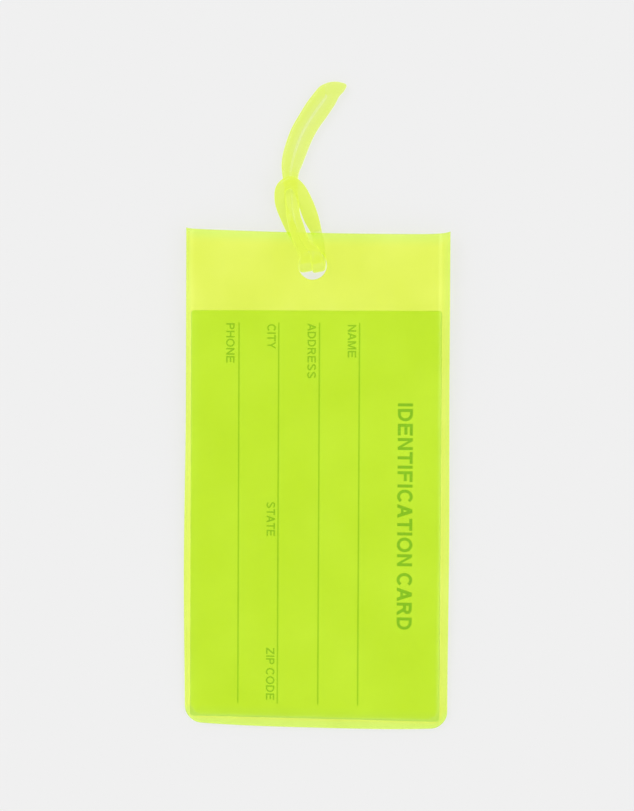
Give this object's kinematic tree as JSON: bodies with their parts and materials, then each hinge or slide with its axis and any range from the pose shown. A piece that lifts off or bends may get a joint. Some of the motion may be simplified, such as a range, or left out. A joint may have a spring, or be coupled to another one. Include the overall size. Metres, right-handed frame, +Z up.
{
  "type": "luggage tag",
  "caption": "Clear neon vinyl luggage tag: a welded sleeve open at the top, an address card that slides in it, and a slit vinyl strap hitched through the hole.",
  "frame": {"origin": "on the table, under the middle of the whole tag's box, with the tag lying on its back", "axes": "+X to the right across the card side, +Y from the hem to the strap's end, +Z up off the table, out of the front sheet"},
  "size_m": [0.064, 0.1568, 0.0069],
  "materials": {
    "sleeve_vinyl": "clear neon yellow-green PVC sheet, smooth and slightly glossy",
    "card_paper": "matt lime card printed with thin green rules",
    "strap_vinyl": "clear neon yellow-green moulded PVC, soft satin"
  },
  "bodies": {
    "sleeve": {"back_sheet": "sleeve_vinyl", "front_sheet": "sleeve_vinyl"},
    "card": {"id_card": "card_paper"},
    "strap": {"strap_hitch": "strap_vinyl"},
    "tail": {"strap_tail": "strap_vinyl"}
  },
  "joints": [
    {"name": "card_slide", "type": "slide", "parent": "sleeve", "child": "card", "axis": [0, 0.9998, 0.0218], "range_m": [0, 0.0073]},
    {"name": "strap_swing", "type": "hinge", "parent": "sleeve", "child": "strap", "pos_m": [-0.0013, 0.03346, 0.00314], "axis": [0, -0.0218, 0.9998], "range_deg": [-42, 20]},
    {"name": "tail_lift", "type": "hinge", "parent": "strap", "child": "tail", "pos_m": [-0.0065, 0.05585, 0.0029], "axis": [1, 0, 0], "range_deg": [0, 90], "stiffness_Nm_per_rad": 0.002}
  ]
}
